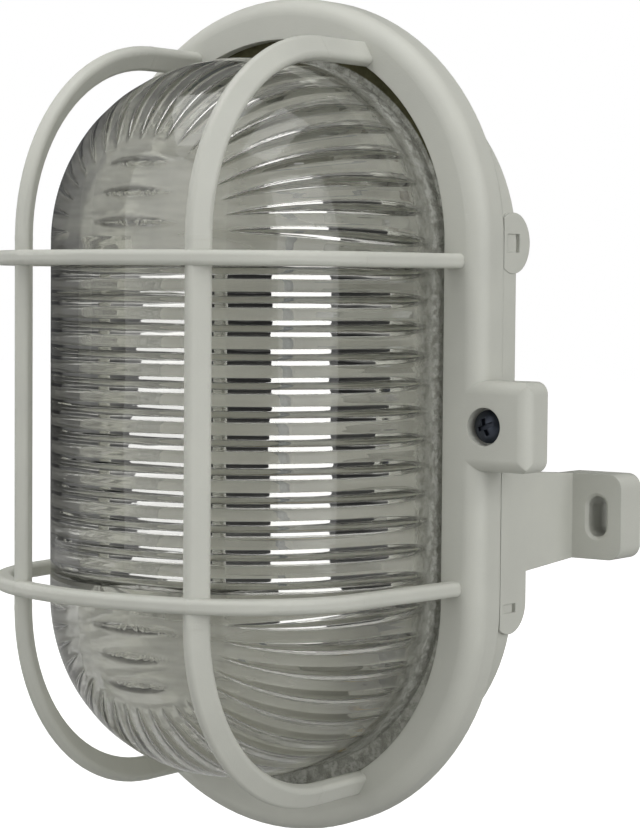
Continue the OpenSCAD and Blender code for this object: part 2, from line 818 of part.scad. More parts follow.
// Turns of the rows, and the least share of its width that a groove's columns keep where it has run out
outer_angles = [86, 76, 66, 56, 46, 36, 24, 12, 0];
inner_angles = [0, 4, 8, 13, 20, 29, 38, 47, 55, 63, 72, 80, 86];
groove_least = 0.1;

module glass_cover() {
    points = concat(
        [for (t = outer_angles, st = stations) outer_point(st, t)],
        [for (z = [ring_under, flange_low], st = stations)
            oval_point(st, groove_share, flange_r, end_offset, z)],
        [for (t = inner_angles, st = stations) inner_point(st, t)]
    );
    n = len(stations);
    last = len(points) / n - 1;
    walls = [for (j = [0 : last - 1], i = [0 : n - 1])
        let (a = j * n + i, b = j * n + (i + 1) % n) each [[a, b, b + n], [a, b + n, a + n]]];
    crest_outside = [for (i = [1 : n]) n - i];
    // Crest strip inside: the grooves of both sides meet across it
    side_n = 3 * side_grooves;
    left = side_n + 3 * end_grooves;
    crest = last * n;
    strip = [for (i = [0 : side_n - 2])
        let (a = crest + i, b = crest + left + side_n - 1 - i) each [[a, a + 1, b - 1], [a, b - 1, b]]];
    top_fan = [for (i = [side_n - 1 : left]) crest + i];
    low_fan = [for (i = [left + side_n - 1 : n]) crest + i % n];
    stand_up() color(glass, 0.5)
        polyhedron(points, concat([crest_outside], walls, strip, [top_fan, low_fan]));
}

module glass_gasket() {
    stand_up() color(rubber) oval_turn(end_offset)
        translate([opening_r + fit_gap, rim_top]) square([flange_lap - fit_gap, gasket_t]);
}

// Fasteners of the guard

// Pan-head screw along -z with a cross in its domed head
module guard_screw() {
    head_sphere = (pow(guard_head_d / 2, 2) + pow(guard_dome, 2)) / (2 * guard_dome);
    cross_cut = [cross_l, cross_w, guard_head_h];
    difference() {
        intersection() {
            cylinder(d = guard_head_d, h = guard_head_h);
            translate([0, 0, guard_head_h - head_sphere]) sphere(head_sphere);
        }
        for (turn = [0, 90]) rotate([0, 0, cross_turn + turn])
            translate([-cross_l / 2, -cross_w / 2, guard_head_h / 2]) cube(cross_cut);
    }
    translate([0, 0, -guard_screw_l]) cylinder(d = guard_screw_d, h = guard_screw_l + guard_head_h / 4);
}

module guard_screws() {
    stand_up() color(blued_steel) both_sides() translate([screw_x, 0, head_seat]) guard_screw();
}

module screw_inserts() {
    stand_up() color(brass) both_sides() translate([screw_x, 0, rim_top - insert_l]) difference() {
        cylinder(d = insert_d, h = insert_l);
        translate([0, 0, -eps]) cylinder(d = guard_screw_d, h = insert_l + 2 * eps);
    }
}

// Lampholder

// Pocket of a lampholder terminal, with room for its screw's head and a channel for its lead
module terminal_pocket() {
    room = [holder_d, terminal_w + 2 * fit_gap, terminal_h + 2 * fit_gap];
    translate([terminal_in, terminal_y - room[1] / 2, holder_z - room[2] / 2]) cube(room);
    along_x([terminal_x, terminal_y, holder_z]) cylinder(d = small_head_d + 2 * post_wall, h = holder_d);
    translate([terminal_x, terminal_y, holder_z - holder_d / 2])
        cylinder(d = lead_d + 4 * fit_gap, h = holder_d / 2);
}

module lampholder_body() {
    stand_up() color(holder_grey) difference() {
        along_y([0, holder_y, holder_z]) difference() {
            cylinder(d = holder_d, h = holder_l);
            translate([0, 0, holder_bottom]) cylinder(r = shell_r + shell_wave + fit_gap, h = holder_l);
            translate([0, 0, contact_low]) cylinder(d = contact_d, h = contact_depth + eps);
            both_sides() translate([holder_hole_x, 0, -eps])
                cylinder(d = small_screw_d, h = small_depth + eps);
        }
        both_sides() terminal_pocket();
    }
}

// Screw shell: a wall rolled into rings over a flat bottom with a hole for the contact
module threaded_shell() {
    steps = 8;
    turns = floor((holder_l - shell_inset - holder_bottom) / shell_pitch);
    inner_r = shell_r - shell_wall;
    wave = [for (i = [0 : steps * turns])
        [inner_r + shell_wave * sin(360 * i / steps), holder_bottom + shell_pitch * i / steps]];
    outer = [for (p = wave) p + [shell_wall, 0]];
    inner = [for (i = [1 : len(wave)]) wave[len(wave) - i]];
    stand_up() color(brass) along_y([0, holder_y, holder_z]) {
        rotate_extrude() polygon(concat(outer, inner));
        translate([0, 0, holder_bottom]) difference() {
            cylinder(r = inner_r + shell_wall / 2, h = shell_wall);
            translate([0, 0, -eps]) cylinder(d = contact_d, h = shell_wall + 2 * eps);
        }
    }
}

// Spring contact: a strip folded back over itself, its free end standing up into the shell
module centre_contact() {
    foot = contact_d / 2 - 2 * contact_t;
    tip = foot - contact_t;
    rise = contact_depth + contact_t;
    stand_up() color(brass) along_y([0, holder_y, holder_z])
        translate([0, contact_w / 2, contact_low]) rotate([90, 0, 0])
            linear_extrude(contact_w) polygon([
                [-foot, 0], [foot, 0], [foot, contact_t], [-foot + 3 * contact_t, contact_t],
                [0, rise - contact_t], [tip, rise], [tip, rise + contact_t],
                [-contact_t, rise], [-foot, contact_t]
            ]);
}

module holder_terminals() {
    stand_up() color(brass) both_sides() translate([terminal_x, terminal_y, holder_z]) difference() {
        cube([terminal_t, terminal_w, terminal_h], center = true);
        along_x([0, 0, 0]) cylinder(d = small_screw_d, h = terminal_t);
    }
}

module holder_terminal_screws() {
    stand_up() color(steel) both_sides()
        along_x([terminal_in + terminal_t, terminal_y, holder_z]) small_screw(terminal_t / 2 - fit_gap);
}

module holder_bracket() {
    back = holder_y - bracket_t;
    height = holder_z + bracket_rise - bracket_z;
    stand_up() color(steel) difference() {
        translate([-bracket_w / 2, back, bracket_z]) {
            cube([bracket_w, bracket_t, height]);
            cube([bracket_w, bracket_leg, bracket_t]);
        }
        both_sides() {
            along_y([holder_hole_x, back - eps, holder_z])
                cylinder(d = small_hole_d, h = bracket_t + 2 * eps);
            translate([bracket_post_x, bracket_post_y, bracket_z - eps])
                cylinder(d = small_hole_d, h = bracket_t + 2 * eps);
        }
    }
}

module holder_screws() {
    stand_up() color(steel) both_sides() along_y([holder_hole_x, holder_y - bracket_t, holder_z])
        mirror([0, 0, 1]) small_screw(bracket_t + small_grip);
}

module bracket_screws() {
    stand_up() color(steel) both_sides()
        translate([bracket_post_x, bracket_post_y, bracket_z + bracket_t])
            small_screw(bracket_t + small_grip);
}

// Supply terminals and cable entry

module terminal_block() {
    stand_up() color(pale_plastic) difference() {
        translate([-block_w / 2, block_y - block_l / 2, floor_t]) cube([block_w, block_l, block_h]);
        both_sides() {
            along_y([pole_x, block_y - block_l, tube_z]) cylinder(d = tube_d, h = 2 * block_l);
            for (s = sides) translate([pole_x, block_y + s * tube_screw_y, tube_z])
                cylinder(d = small_hole_d, h = block_h);
        }
        translate([0, block_y, 0]) cylinder(d = block_screw_d + 2 * fit_gap, h = block_top + eps);
        translate([0, block_y, block_seat]) cylinder(d = block_head_d + 2 * fit_gap, h = block_h);
    }
}

module terminal_tubes() {
    length = block_l - 2 * tube_short;
    stand_up() color(brass) both_sides() difference() {
        along_y([pole_x, block_y - length / 2, tube_z]) cylinder(d = tube_d, h = length);
        along_y([pole_x, block_y - length, tube_z]) cylinder(d = tube_bore, h = 2 * length);
        for (s = sides) translate([pole_x, block_y + s * tube_screw_y, tube_z])
            cylinder(d = small_screw_d, h = tube_d);
    }
}

// Headless screws that press on the leads
module terminal_screws() {
    low = tube_z + lead_d / 2;
    length = block_top - screw_sink - low;
    stand_up() color(steel) both_sides() for (s = sides)
        translate([pole_x, block_y + s * tube_screw_y, low]) difference() {
            cylinder(d = small_screw_d, h = length);
            translate([0, 0, length - small_head_h]) driver_cut(small_screw_d, small_head_h);
        }
}

module terminal_block_screw() {
    depth = block_seat - floor_t + block_grip;
    stand_up() color(steel) translate([0, block_y, block_seat]) {
        difference() {
            cylinder(d = block_head_d, h = block_head_h);
            driver_cut(block_head_d, block_head_h);
        }
        translate([0, 0, -depth]) cylinder(d = block_screw_d, h = depth + block_head_h / 4);
    }
}

// Route of the right-hand lead, from under the terminal block's screw, round and down to the lampholder
lead_route = [
    [pole_x, block_y + tube_screw_y - small_screw_d, tube_z],
    [pole_x, block_y + block_l * 2 / 3, tube_z],
    [8.5, 62, 9],
    [13, 65, 10],
    [18.5, 64, 11],
    [23, 59, 12],
    [25.5, 50, 12],
    [26, 20, 12],
    [26, -22, 13],
    [26, -50, 16],
    [terminal_x, terminal_y, 26],
    [terminal_x, terminal_y, holder_z - terminal_h / 2]
];
// A direction that no run of the route follows; each ring of corners is set by it
lead_up = [0, 0.2, 1];

module live_lead() {
    stand_up() color(brown_sleeve) lead(lead_route);
}

module neutral_lead() {
    stand_up() color(blue_sleeve) mirror([1, 0, 0]) lead(lead_route);
}

// Rubber ring with a lip on each side of the base's web; the inner lip is bevelled
module cable_grommet() {
    neck_r = entry_hole / 2 - fit_gap;
    bore_r = entry_bore / 2;
    bevel = lip_t / 2;
    stand_up() color(rubber) translate([0, entry_y, 0]) rotate_extrude() polygon([
        [bore_r, web_low - lip_t], [lip_r, web_low - lip_t], [lip_r, web_low], [neck_r, web_low],
        [neck_r, web_high], [lip_r, web_high], [lip_r - bevel, web_high + lip_t],
        [bore_r, web_high + lip_t]
    ]);
}

module cord_clamp() {
    stand_up() color(pale_plastic) difference() {
        translate([-clamp_l / 2, clamp_y - clamp_w / 2, clamp_z]) cube([clamp_l, clamp_w, clamp_t]);
        both_sides() translate([clamp_post_x, clamp_y, clamp_z - eps])
            cylinder(d = small_hole_d, h = clamp_t + 2 * eps);
        along_y([0, clamp_y - clamp_w, clamp_z]) cylinder(d = clamp_groove, h = 2 * clamp_w);
    }
}

module cord_clamp_screws() {
    stand_up() color(steel) both_sides()
        translate([clamp_post_x, clamp_y, clamp_z + clamp_t]) small_screw(clamp_t + small_grip);
}

base_housing();
guard_frame();
glass_cover();
glass_gasket();
guard_screws();
screw_inserts();
lampholder_body();
threaded_shell();
centre_contact();
holder_terminals();
holder_terminal_screws();
holder_bracket();
holder_screws();
bracket_screws();
terminal_block();
terminal_tubes();
terminal_screws();
terminal_block_screw();
live_lead();
neutral_lead();
cable_grommet();
cord_clamp();
cord_clamp_screws();
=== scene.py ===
"""Looks of an oval bulkhead light: materials, a finely grooved glass cover, studio light and the camera."""
import math

import bpy
import bmesh
import numpy as np
from mathutils import Matrix, Vector


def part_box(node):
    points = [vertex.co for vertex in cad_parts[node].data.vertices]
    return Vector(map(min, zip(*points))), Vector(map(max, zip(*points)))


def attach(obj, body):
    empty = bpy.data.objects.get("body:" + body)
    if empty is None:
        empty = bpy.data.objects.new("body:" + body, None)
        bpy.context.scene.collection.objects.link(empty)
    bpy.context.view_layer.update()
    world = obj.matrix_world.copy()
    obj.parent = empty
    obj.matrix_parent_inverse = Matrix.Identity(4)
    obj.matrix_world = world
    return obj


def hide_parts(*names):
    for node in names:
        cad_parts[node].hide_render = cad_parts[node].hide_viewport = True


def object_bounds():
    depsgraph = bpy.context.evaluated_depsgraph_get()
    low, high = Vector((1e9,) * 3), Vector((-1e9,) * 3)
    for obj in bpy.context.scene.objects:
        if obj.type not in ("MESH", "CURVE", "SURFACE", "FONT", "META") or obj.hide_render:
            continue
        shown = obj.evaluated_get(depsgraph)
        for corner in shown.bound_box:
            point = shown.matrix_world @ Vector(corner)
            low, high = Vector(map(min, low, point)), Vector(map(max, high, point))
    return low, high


MM = 0.001

# Camera: distances in millimetres, angles in degrees
CAMERA_AZIMUTH = 36.36
CAMERA_PITCH = 2.99
CAMERA_ROLL = 0.45
CAMERA_DISTANCE = 632.3
CAMERA_AIM = (11.48, -54.0, 0.87)
CAMERA_FOCAL_PX = 2496.5
CAMERA_CLIP_START = 10.0
FRAME_HEIGHT_PX = 828.0
SENSOR_MM = 36.0

# Glass cover: sizes in millimetres, angles up the dome in degrees
FLANGE_T = 3.0
FLANGE_LAP = 3.4
DOME_GAP = 1.5
DOME_SETBACK = 4.0
DOME_SWELL = 4.5
DOME_POWER = 2.4
GLASS_WALL = 5.9
SIDE_GROOVES = 12
END_GROOVES = 20
GROOVE_DEPTH = 1.49
GROOVE_HALF = 2.05
GROOVE_FOOT = 3.0
GROOVE_RUNOUT = 18.0
# Grooves in the fan round each end: share of their spacing, and where they end
FAN_SHARE = 0.56
FAN_END = 63.0
FAN_RUNOUT = 34.0
# Short grooves at the front of each end
LENS_LENGTHS = (27.0, 22.0, 19.0)
LENS_HALF = 1.5
LENS_DEPTH = 1.3
# Half of a groove's section from its edge inwards: place across it and share of its depth there
HALF_SECTION = ((1.0, 0.0), (0.94, 0.05), (0.88, 0.12), (0.82, 0.20),
                (0.40, 0.76), (0.32, 0.86), (0.16, 0.965))
GROOVE_SECTION = [(-across, share) for across, share in HALF_SECTION] + [(0.0, 1.0)]
GROOVE_SECTION += HALF_SECTION[::-1]

# Mesh of the glass: rows up the outside, up the inside to the patch at the front, and over that patch
OUTER_ROWS = 16
FLANK_ROWS = 30
PATCH_ROWS = 36
PATCH_START = 60.0
CREST = 90.0
# Columns on the land between two grooves, and half widths of a groove as shares of the spacing
LAND_STEPS = (1 / 3, 2 / 3)
PLAIN_HALF = 0.3
LEAST_HALF = 0.004
# Least share of a short groove's width, metres within which points are welded, and degrees of a sharp edge
LEAST_LENS = 1e-6
WELD_DISTANCE = 1e-6
SHARP_ANGLE = 50.0

# Pressing haze between the grooves and on the plain fronts of the ends, and the share of a groove's depth at
# which it ends
HAZE_NAME = "haze"
LAND_HAZE = 0.2
END_HAZE = 0.45
FLANK_START = 0.2

# Crazed band at the glass's foot, with a painted highlight there (a pale band for the glass's bright rim):
# distances from the wall in millimetres, and the share of the painted highlight
CRAZED_HIGHLIGHT_TO = 59.5
CRAZED_HIGHLIGHT_FADE = 4.0
CRAZED_HIGHLIGHT_SHARE = 0.45
# Painted shade on the glass's flange, a dark band where the gap at the ring's edge lies in shade over the
# dark gasket: distance from the wall, and the oval outside which it shows, in millimetres
FLANGE_SHADE_TO = 51.6
FLANGE_SHADE_FADE = 0.4
FLANGE_SHADE_OFFSET = 42.3
FLANGE_SHADE_DROP = 1.6
FLANGE_SHADE_R = 50.2
# Paler inside of the base's dish, in millimetres: the middle of its wall, how that narrows behind the
# shoulder, the middle of its floor and the blend between the colours
DISH_OFFSET = 44.0
DISH_R = 51.9
DISH_SHOULDER = 30.0
DISH_SLOPE = 0.750
DISH_FLOOR = 1.6
DISH_FADE = 0.6

# Noise: specks in a metre, then detail, roughness and stretch where they are given
MOTTLE = (70.0, 4.0)
GRAIN_DETAIL = 2.0
METAL_STREAKS = (900.0, 3.0, 0.6, (1.0, 0.2, 1.0))
METAL_SMUDGES = (160.0, 4.0)
GLASS_WAVES = (55.0, 2.0)
GLASS_STREAKS = (240.0, 2.0, 0.5, (0.12, 0.12, 1.0))
GLASS_CRAZING = (520.0, 3.0, 0.7)
FLOOR_MOTTLE = (3.0,)
# Range of a noise that a colour or a gloss is spread over
NOISE_RANGE = (0.3, 0.7)
# Range for the crazed band's painted highlight
CRAZED_HIGHLIGHT_RANGE = (0.35, 0.6)

# Bumps: depth in metres and strength
GRAIN_STRENGTH = 0.6
METAL_BUMP = (0.00003, 0.5)
WAVE_BUMP = (0.0006, 0.25)
STREAK_BUMP = (0.0004, 0.12)
CRAZED_DEPTH = 0.0012
# Softened edges of turned or bent metal: radius in metres
METAL_EDGE = 0.0002
EDGE_SAMPLES = 6

# Darker and lighter tones
GREY_TONES = ((0.47, 0.475, 0.43), (0.50, 0.505, 0.455))
DISH_TONES = ((0.78, 0.78, 0.72), (0.82, 0.82, 0.76))
GLASS_TONES = ((0.965, 0.965, 0.925), (0.985, 0.985, 0.95))
HAZE_TONES = ((0.68, 0.68, 0.63), (0.80, 0.80, 0.75))
# Crazing at the glass's foot, with a painted highlight: a pale rim
CRAZED_HIGHLIGHT_TONES = ((0.20, 0.20, 0.17), (0.62, 0.63, 0.58))
# Painted shade on the glass's flange
FLANGE_SHADE_TONES = ((0.05, 0.048, 0.026), (0.085, 0.082, 0.046))
FLOOR_TONES = ((0.36, 0.36, 0.35), (0.39, 0.39, 0.38))
# Glass: refraction, range of roughness, range of the haze's unevenness, and the tint of its shadow
GLASS_IOR = 1.6
GLASS_ROUGH = (0.0, 0.03)
HAZE_RANGE = (0.6, 1.4)
SHADOW_TINT = (0.97, 0.97, 0.95, 1.0)

# Moulded stuff: tones, range of roughness, grain in specks a metre, depth of grain and edge radius in metres
BASE_MOULDING = (GREY_TONES, (0.42, 0.56), 2600.0, 0.00006, 0.0004)
MOULDINGS = {
    "guard_plastic": (GREY_TONES, (0.38, 0.52), 2600.0, 0.00005, 0.0004),
    "grey_rubber": (((0.36, 0.36, 0.31), (0.41, 0.41, 0.36)), (0.6, 0.8), 1800.0, 0.00008, 0.0004),
    "black_rubber": (((0.020, 0.020, 0.012), (0.034, 0.033, 0.020)), (0.6, 0.8), 1800.0, 0.00008, 0.0004),
    "holder_grey": (((0.34, 0.34, 0.30), (0.39, 0.39, 0.34)), (0.3, 0.45), 700.0, 0.00004, 0.0006),
    "pale_plastic": (((0.44, 0.45, 0.41), (0.50, 0.51, 0.46)), (0.35, 0.5), 2200.0, 0.00005, 0.0004),
    "brown_sleeve": (((0.26, 0.23, 0.19), (0.32, 0.28, 0.23)), (0.5, 0.65), 1500.0, 0.00005, 0.0003),
    "blue_sleeve": (((0.24, 0.27, 0.29), (0.29, 0.32, 0.34)), (0.5, 0.65), 1500.0, 0.00005, 0.0003),
}
# Metals: tones and range of roughness
METALS = {
    "blued_steel": (((0.045, 0.055, 0.075), (0.09, 0.10, 0.125)), (0.28, 0.42)),
    "brass": (((0.55, 0.40, 0.17), (0.68, 0.51, 0.24)), (0.25, 0.42)),
    "zinc_steel": (((0.50, 0.51, 0.52), (0.62, 0.63, 0.63)), (0.3, 0.48)),
}
MATERIAL_OF_NODE = {
    "base_housing": "grey_plastic", "guard_frame": "guard_plastic", "glass_cover": "clear_glass",
    "glass_gasket": "black_rubber", "guard_screws": "blued_steel", "screw_inserts": "brass",
    "lampholder_body": "holder_grey", "threaded_shell": "brass", "centre_contact": "brass",
    "holder_terminals": "brass", "holder_terminal_screws": "zinc_steel", "holder_bracket": "zinc_steel",
    "holder_screws": "zinc_steel", "bracket_screws": "zinc_steel", "terminal_block": "pale_plastic",
    "terminal_tubes": "brass", "terminal_screws": "zinc_steel", "terminal_block_screw": "zinc_steel",
    "live_lead": "brown_sleeve", "neutral_lead": "blue_sleeve", "cable_grommet": "grey_rubber",
    "cord_clamp": "pale_plastic", "cord_clamp_screws": "zinc_steel",
}

# Studio, in metres
FLOOR_DROP = 0.06
FLOOR_SIZE = 8.0
# Floor: glow for the camera near to and far from the object (distances, then levels), and for other rays
FLOOR_GLOW = (0.25, 0.6, 0.8, 1.0)
FLOOR_LEVEL = 0.02
# Room: lowest and highest value of a direction's part, and the light level at each
ROOM_RISE = (-0.2, 1.0, 0.0, 0.10)
ROOM_LEFT = (-0.6, -0.9, 0.0, 0.10)
ROOM_COLOUR = (0.985, 0.99, 1.0, 1.0)
WHITE = (1.0, 1.0, 1.0, 1.0)
# Softboxes and fills, all facing one point: turn from straight in front towards the right and rise in
# degrees, distance, width and height in metres, power in watts, and whether gloss and glass show them
LIGHT_TARGET = (0.0, -0.05, 0.0)
SOFTBOXES = {
    "front_softbox": (-14.5, 8.0, 1.2, 1.1, 1.5, 4.3, True),
    "right_softbox": (75.0, 8.0, 1.2, 0.8, 1.5, 4.2, True),
    "right_fill": (95.0, 10.0, 1.4, 1.4, 1.4, 13.0, False),
    "front_fill": (15.0, -5.0, 1.5, 2.2, 2.2, 11.0, False),
    "left_softbox": (-85.0, 15.0, 1.2, 0.9, 1.4, 8.0, False),
    "top_softbox": (20.0, 78.0, 1.2, 1.3, 1.0, 6.0, True),
    "top_fill": (-40.0, 65.0, 1.4, 1.6, 1.2, 9.5, False),
}


def look_axes(azimuth, pitch, roll):
    """Right, up and forward axes of a camera turned by these angles."""
    a, p, w = (math.radians(v) for v in (azimuth, pitch, roll))
    forward = Vector((-math.sin(a) * math.cos(p), math.cos(a) * math.cos(p), -math.sin(p)))
    level = Vector((math.cos(a), math.sin(a), 0.0))
    raised = level.cross(forward)
    right = level * math.cos(w) + raised * math.sin(w)
    return right, right.cross(forward), forward


def add_camera():
    right, up, forward = look_axes(CAMERA_AZIMUTH, CAMERA_PITCH, CAMERA_ROLL)
    level = Vector((right.x, right.y, 0.0)).normalized()
    aim = level * CAMERA_AIM[0] + Vector((0.0, CAMERA_AIM[1], CAMERA_AIM[2]))
    place = (aim - forward * CAMERA_DISTANCE) * MM
    data = bpy.data.cameras.new("photo_camera")
    data.sensor_fit = "VERTICAL"
    data.sensor_height = SENSOR_MM
    data.lens = CAMERA_FOCAL_PX * SENSOR_MM / FRAME_HEIGHT_PX
    data.clip_start = CAMERA_CLIP_START * MM
    camera = bpy.data.objects.new("photo_camera", data)
    axes = Matrix((right, up, -forward)).transposed()
    camera.matrix_world = Matrix.Translation(place) @ axes.to_4x4()
    bpy.context.scene.collection.objects.link(camera)
    bpy.context.scene.camera = camera


class Nodes:
    """A node tree with short helpers to add and join nodes."""

    def __init__(self, tree):
        self.tree = tree
        self.tree.nodes.clear()

    def node(self, kind, **settings):
        made = self.tree.nodes.new(kind)
        for key, value in settings.items():
            setattr(made, key, value)
        return made

    def join(self, source, target):
        self.tree.links.new(source, target)

    def feed(self, value, target):
        """Set a fixed number on a socket, or join another socket to it."""
        if isinstance(value, float):
            target.default_value = value
        else:
            self.join(value, target)

    def split(self, vector):
        """The X, Y and Z of a vector."""
        made = self.node("ShaderNodeSeparateXYZ")
        self.join(vector, made.inputs["Vector"])
        return made.outputs

    def length(self, vector):
        made = self.node("ShaderNodeVectorMath", operation="LENGTH")
        self.join(vector, made.inputs[0])
        return made.outputs["Value"]

    def math(self, kind, first, second=0.0):
        """A number worked out from a joined value and a second one that is joined or fixed."""
        made = self.node("ShaderNodeMath", operation=kind)
        self.join(first, made.inputs[0])
        self.feed(second, made.inputs[1])
        return made.outputs["Value"]

    def map_range(self, value, from_low, from_high, to_low=0.0, to_high=1.0):
        """A value's place between the first two numbers, spread over the last two and kept within them."""
        made = self.node("ShaderNodeMapRange")
        ends = {"From Min": from_low, "From Max": from_high, "To Min": to_low, "To Max": to_high}
        for name, number in ends.items():
            made.inputs[name].default_value = number
        self.join(value, made.inputs["Value"])
        return made.outputs["Result"]

    def light_path(self, ray):
        return self.node("ShaderNodeLightPath").outputs[ray]

    def mix(self, share, first, second):
        made = self.node("ShaderNodeMixShader")
        self.join(share, made.inputs["Fac"])
        self.join(first, made.inputs[1])
        self.join(second, made.inputs[2])
        return made.outputs["Shader"]


class Shader(Nodes):
    """A material's node tree, with helpers for textures, masks and surfaces."""

    def __init__(self, name):
        self.material = bpy.data.materials.new(name)
        self.material.use_nodes = True
        super().__init__(self.material.node_tree)
        self.output = self.node("ShaderNodeOutputMaterial")
        self.coords = self.node("ShaderNodeTexCoord").outputs["Object"]

    def noise(self, scale, detail=3.0, rough=0.55, stretch=(1.0, 1.0, 1.0)):
        """Noise in metres of the object: about one speck every 1/scale metres."""
        place = self.node("ShaderNodeMapping")
        place.inputs["Scale"].default_value = stretch
        self.join(self.coords, place.inputs["Vector"])
        made = self.node("ShaderNodeTexNoise")
        made.inputs["Scale"].default_value = scale
        made.inputs["Detail"].default_value = detail
        made.inputs["Roughness"].default_value = rough
        self.join(place.outputs["Vector"], made.inputs["Vector"])
        return made.outputs["Fac"]

    def tones(self, value, tones, places=NOISE_RANGE):
        """Colour from the darker tone to the lighter one, as a value rises between two places."""
        made = self.node("ShaderNodeValToRGB")
        for point, place, tone in zip(made.color_ramp.elements, places, tones):
            point.position = place
            point.color = (*tone, 1.0)
        self.join(value, made.inputs["Fac"])
        return made.outputs["Color"]

    def span(self, value, low, high):
        """A noise spread between two numbers."""
        return self.map_range(value, *NOISE_RANGE, low, high)

    def bump(self, height, depth, strength, normal=None):
        made = self.node("ShaderNodeBump")
        made.inputs["Distance"].default_value = depth
        self.feed(strength, made.inputs["Strength"])
        self.join(height, made.inputs["Height"])
        if normal is not None:
            self.join(normal, made.inputs["Normal"])
        return made.outputs["Normal"]

    def rounded(self, radius):
        """Normal that softens sharp edges over this radius."""
        made = self.node("ShaderNodeBevel", samples=EDGE_SAMPLES)
        made.inputs["Radius"].default_value = radius
        return made.outputs["Normal"]

    def depth_share(self, start, full):
        """0 in front of the first distance from the wall, 1 behind the second; both in millimetres."""
        return self.map_range(self.split(self.coords)["Y"], -start * MM, -full * MM)

    def oval_reach(self, offset, drop=0.0):
        """Distance in metres from the line between an oval's end centres, which may sit lower by a drop."""
        parts = self.split(self.coords)
        along = self.math("ABSOLUTE", self.math("ADD", parts["Z"], drop * MM))
        past = self.math("SUBTRACT", along, offset * MM)
        flat = self.node("ShaderNodeCombineXYZ")
        self.join(parts["X"], flat.inputs["X"])
        self.join(self.math("MAXIMUM", past), flat.inputs["Z"])
        return self.length(flat.outputs["Vector"])

    def blend_colours(self, share, first, second):
        made = self.node("ShaderNodeMix", data_type="RGBA")
        # The node has sockets for numbers and vectors too; these places are the share's and the colours'
        for source, place in ((share, 0), (first, 6), (second, 7)):
            self.join(source, made.inputs[place])
        return made.outputs[2]

    def diffuse(self, colour):
        made = self.node("ShaderNodeBsdfDiffuse")
        self.join(colour, made.inputs["Color"])
        return made.outputs["BSDF"]

    def principled(self, colour, rough, normal, **fixed):
        made = self.node("ShaderNodeBsdfPrincipled")
        self.join(colour, made.inputs["Base Color"])
        self.join(rough, made.inputs["Roughness"])
        self.join(normal, made.inputs["Normal"])
        for key, value in fixed.items():
            made.inputs[key].default_value = value
        return made.outputs["BSDF"]

    def covered(self, surface):
        """The material, with this surface."""
        self.join(surface, self.output.inputs["Surface"])
        return self.material


def moulded(s, colour, rough, grain, depth, edge):
    """Moulded surface: fine grain in gloss and height, softened edges."""
    fine = s.noise(grain, GRAIN_DETAIL)
    normal = s.bump(fine, depth, GRAIN_STRENGTH, s.rounded(edge))
    return s.covered(s.principled(colour, s.span(fine, *rough), normal))


def mottled(name, tones, *finish):
    """Moulded stuff with faint broad mottling."""
    s = Shader(name)
    return moulded(s, s.tones(s.noise(*MOTTLE), tones), *finish)


def outside_dish(s):
    """0 inside the base's dish, 1 outside it."""
    behind = s.math("MAXIMUM", s.math("ADD", s.split(s.coords)["Y"], DISH_SHOULDER * MM))
    reach = s.math("ADD", s.math("MULTIPLY", behind, DISH_SLOPE), s.oval_reach(DISH_OFFSET))
    past_wall = s.map_range(reach, DISH_R * MM, (DISH_R + DISH_FADE) * MM)
    past_floor = s.depth_share(DISH_FLOOR, DISH_FLOOR - DISH_FADE)
    return s.math("MAXIMUM", past_wall, past_floor)


def base_plastic(tones, *finish):
    """The base's moulded plastic, paler inside the dish."""
    s = Shader("grey_plastic")
    broad = s.noise(*MOTTLE)
    colour = s.blend_colours(outside_dish(s), s.tones(broad, DISH_TONES), s.tones(broad, tones))
    return moulded(s, colour, *finish)


def brushed(name, tones, rough):
    """Drawn or turned metal with faint streaks and smudges."""
    s = Shader(name)
    smudges = s.noise(*METAL_SMUDGES)
    normal = s.bump(s.noise(*METAL_STREAKS), *METAL_BUMP, s.rounded(METAL_EDGE))
    return s.covered(s.principled(s.tones(smudges, tones), s.span(smudges, *rough), normal, Metallic=1.0))


def glass_body(s, streaks, crazing, foot):
    """Clear glass with the slight waves of pressing, crazed at its foot."""
    waves = s.noise(*GLASS_WAVES)
    pressed = s.bump(streaks, *STREAK_BUMP, s.bump(waves, *WAVE_BUMP))
    cracked = s.bump(crazing, CRAZED_DEPTH, foot, pressed)
    clear = {"Transmission Weight": 1.0, "IOR": GLASS_IOR}
    return s.principled(s.tones(waves, GLASS_TONES), s.span(crazing, *GLASS_ROUGH), cracked, **clear)


def hazy_glass(s, body, streaks):
    """The glass with haze where the mesh has it, and nearly clear to light that casts shadows."""
    haze = s.node("ShaderNodeAttribute", attribute_name=HAZE_NAME).outputs["Fac"]
    share = s.math("MULTIPLY", haze, s.span(streaks, *HAZE_RANGE))
    hazy = s.mix(share, body, s.diffuse(s.tones(streaks, HAZE_TONES)))
    clear = s.node("ShaderNodeBsdfTransparent")
    clear.inputs["Color"].default_value = SHADOW_TINT
    return s.mix(s.light_path("Is Shadow Ray"), hazy, clear.outputs["BSDF"])


def flange_shaded_glass(s, glass, crazing):
    """The glass with painted shade on its flange: a dark band where the gap at the ring's edge lies in shade
    over the gasket.
    """
    reach = s.oval_reach(FLANGE_SHADE_OFFSET, FLANGE_SHADE_DROP)
    outside = s.map_range(reach, FLANGE_SHADE_R * MM, (FLANGE_SHADE_R + FLANGE_SHADE_FADE) * MM)
    share = s.math("MULTIPLY", s.depth_share(FLANGE_SHADE_TO, FLANGE_SHADE_TO - FLANGE_SHADE_FADE), outside)
    # Painted shade: a dark band mixed over the glass on its flange
    return s.mix(share, glass, s.diffuse(s.tones(crazing, FLANGE_SHADE_TONES)))


